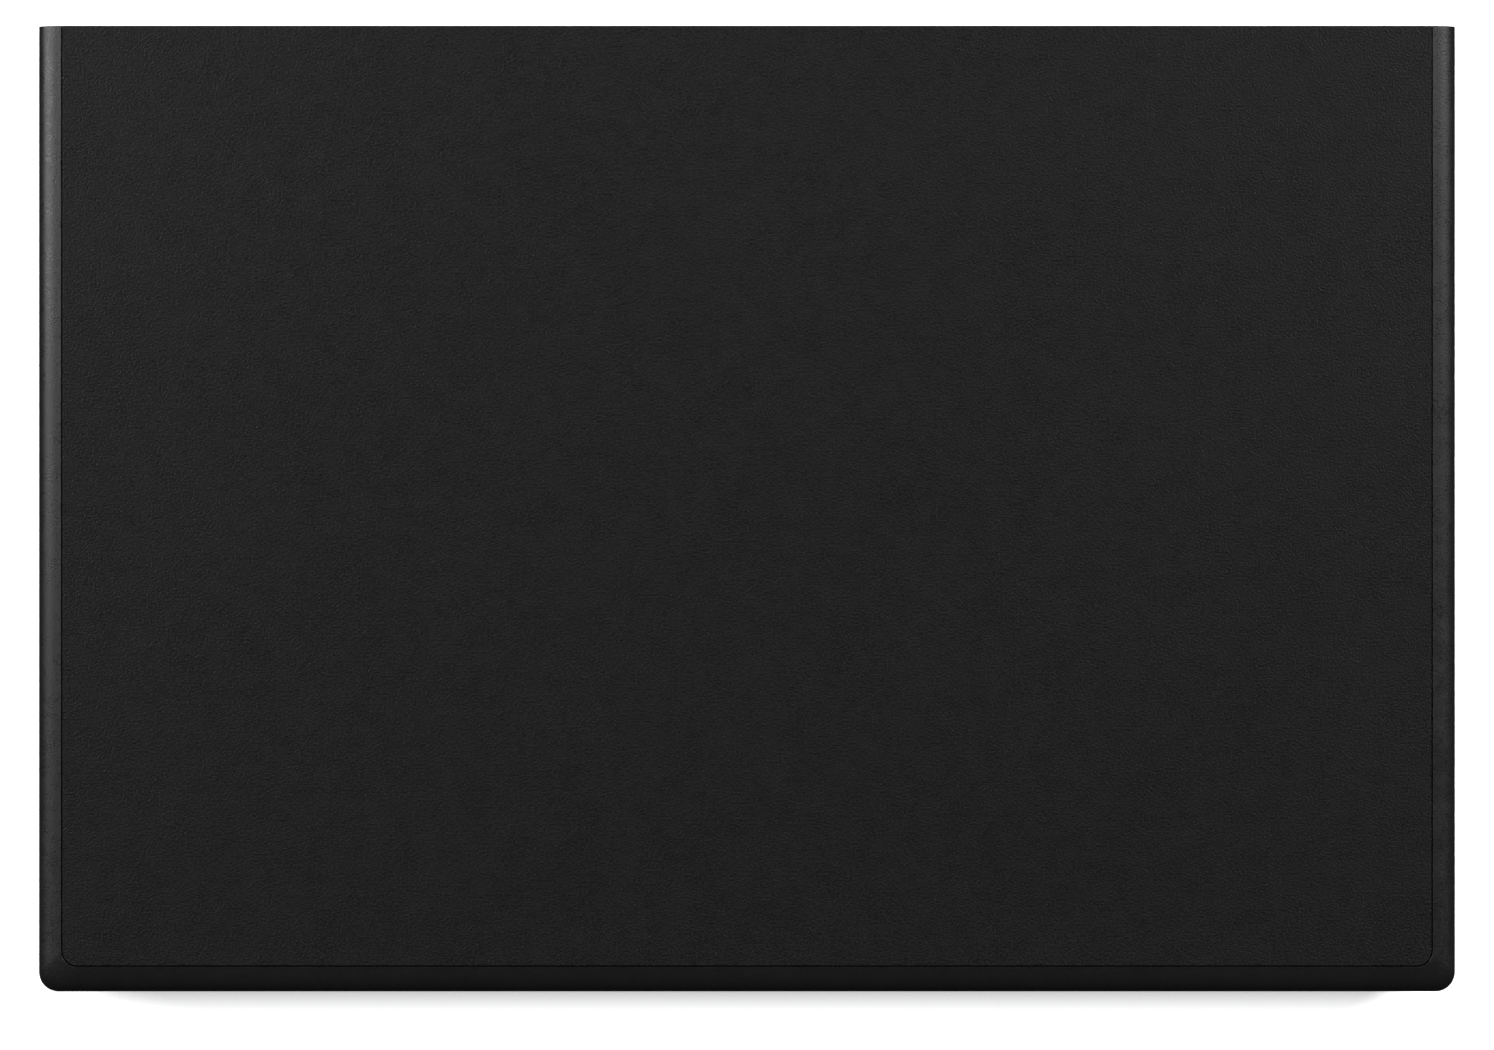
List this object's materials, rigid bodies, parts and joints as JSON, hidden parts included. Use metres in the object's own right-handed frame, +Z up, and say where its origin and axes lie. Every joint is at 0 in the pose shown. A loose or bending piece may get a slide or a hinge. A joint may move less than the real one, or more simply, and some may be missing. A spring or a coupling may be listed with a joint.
{
  "type": "flatbed scanner",
  "caption": "slim flatbed scanner with a hinged lid, A4 glass, a sensor bar on a rack-driven carriage and front push buttons",
  "frame": {"origin": "centre of the footprint, on the plane that the feet stand on", "axes": "+X right along the long side, +Y towards the hinge at the rear, +Z up"},
  "size_m": [0.364, 0.248, 0.039],
  "materials": {
    "rim_black": "satin moulded, fine texture",
    "panel_black": "spark-eroded grain",
    "case_black": "fine matt moulding texture",
    "liner_black": "plain moulded",
    "platen_glass": "polished float glass",
    "cover_glass": "polished thin glass",
    "black_tape": "double-sided tape",
    "calibration_white": "matt white film",
    "mat_white": "satin white sheet",
    "foam_grey": "open-cell foam",
    "bumper_rubber": "moulded rubber",
    "rod_steel": "ground and plated",
    "pin_steel": "drawn steel",
    "screw_black": "black zinc",
    "screw_zinc": "bright zinc",
    "gear_white": "acetal",
    "holder_grey": "moulded",
    "bushing_bronze": "sintered bronze",
    "post_black": "moulded",
    "bar_black": "moulded",
    "lens_dark": "rod lens strip",
    "guide_clear": "clear acrylic light guide",
    "board_green": "solder mask",
    "chip_black": "moulded epoxy",
    "socket_steel": "nickel-plated shell",
    "socket_cream": "connector nylon",
    "cable_white": "flat flexible cable",
    "motor_steel": "plated steel can",
    "pad_white": "low-friction pad",
    "button_black": "semi-gloss caps",
    "lamp_clear": "translucent light pipe"
  },
  "bodies": {
    "base": {"lower_tray": "case_black", "upper_frame": "case_black", "platen_glass": "platen_glass", "glass_tape": "black_tape", "calibration_strip": "calibration_white", "guide_rod": "rod_steel", "rod_holder_left": "holder_grey", "rod_holder_right": "holder_grey", "holder_screws": "screw_zinc", "drive_rack": "gear_white", "main_board": "board_green", "board_chips": "chip_black", "board_screws": "screw_zinc", "usb_socket": "socket_steel", "cable_socket": "socket_cream", "flat_cable": "cable_white", "button_board": "board_green", "button_switches": "chip_black", "light_pipe": "lamp_clear", "housing_screws": "screw_black", "foot_front_left": "bumper_rubber", "foot_rear_left": "bumper_rubber", "foot_front_right": "bumper_rubber", "foot_rear_right": "bumper_rubber"},
    "post_left": {"hinge_post_left": "post_black"},
    "post_right": {"hinge_post_right": "post_black"},
    "lid": {"lid_frame": "rim_black", "lid_panel": "panel_black", "lid_liner": "liner_black", "foam_pad": "foam_grey", "white_mat": "mat_white", "lid_bumpers": "bumper_rubber", "lid_screws": "screw_black", "hinge_pin_left": "pin_steel", "hinge_pin_right": "pin_steel"},
    "carriage": {"carriage_frame": "holder_grey", "rod_bushing_left": "bushing_bronze", "rod_bushing_right": "bushing_bronze", "motor_can": "motor_steel", "motor_screws": "screw_zinc", "gear_axle": "pin_steel", "bar_springs": "screw_zinc"},
    "sensor_bar": {"bar_housing": "bar_black", "bar_cover_glass": "cover_glass", "lens_array": "lens_dark", "light_guide": "guide_clear", "sensor_board": "board_green", "glide_pad_front": "pad_white", "glide_pad_rear": "pad_white"},
    "reduction_gear": {"reduction_gear": "gear_white"},
    "motor_rotor": {"motor_shaft": "pin_steel", "motor_pinion": "gear_white"},
    "button_start": {"button_start": "button_black"},
    "button_copy": {"button_copy": "button_black"},
    "button_send": {"button_send": "button_black"},
    "button_file": {"button_file": "button_black"}
  },
  "joints": [
    {"name": "hinge_lift", "type": "slide", "parent": "base", "child": "post_left", "axis": [0, 0, 1], "range_m": [0, 0.012]},
    {"name": "right_post_lift", "type": "slide", "parent": "base", "child": "post_right", "axis": [0, 0, 1], "range_m": [0, 0.012]},
    {"name": "lid_hinge", "type": "hinge", "parent": "post_left", "child": "lid", "pos_m": [-0.12, 0.118, 0.033], "axis": [-1, 0, 0], "range_deg": [0, 100]},
    {"name": "carriage_slide", "type": "slide", "parent": "base", "child": "carriage", "axis": [1, 0, 0], "range_m": [0, 0.302], "deforming": ["flat_cable"]},
    {"name": "gear_spin", "type": "hinge", "parent": "carriage", "child": "reduction_gear", "pos_m": [-0.1365, 0.0184, 0.008], "axis": [0, 0, 1], "continuous": true},
    {"name": "motor_spin", "type": "hinge", "parent": "carriage", "child": "motor_rotor", "pos_m": [-0.135, 0.03031, 0.012], "axis": [0, 0, 1], "continuous": true},
    {"name": "bar_float", "type": "slide", "parent": "carriage", "child": "sensor_bar", "axis": [0, 0, 1], "range_m": [-0.0006, 0], "stiffness_N_per_m": 600, "springref_m": 0.003, "deforming": ["bar_springs"]},
    {"name": "start_press", "type": "slide", "parent": "base", "child": "button_start", "axis": [0, 1, 0], "range_m": [0, 0.0008], "stiffness_N_per_m": 600, "springref_m": -0.0005},
    {"name": "copy_press", "type": "slide", "parent": "base", "child": "button_copy", "axis": [0, 1, 0], "range_m": [0, 0.0008], "stiffness_N_per_m": 600, "springref_m": -0.0005},
    {"name": "send_press", "type": "slide", "parent": "base", "child": "button_send", "axis": [0, 1, 0], "range_m": [0, 0.0008], "stiffness_N_per_m": 600, "springref_m": -0.0005},
    {"name": "file_press", "type": "slide", "parent": "base", "child": "button_file", "axis": [0, 1, 0], "range_m": [0, 0.0008], "stiffness_N_per_m": 600, "springref_m": -0.0005}
  ],
  "couplings": [
    {"joint": "right_post_lift", "follows": "hinge_lift", "ratio": 1},
    {"joint": "gear_spin", "follows": "carriage_slide", "rad_per_m": -185.19},
    {"joint": "motor_spin", "follows": "carriage_slide", "rad_per_m": 555.56}
  ]
}
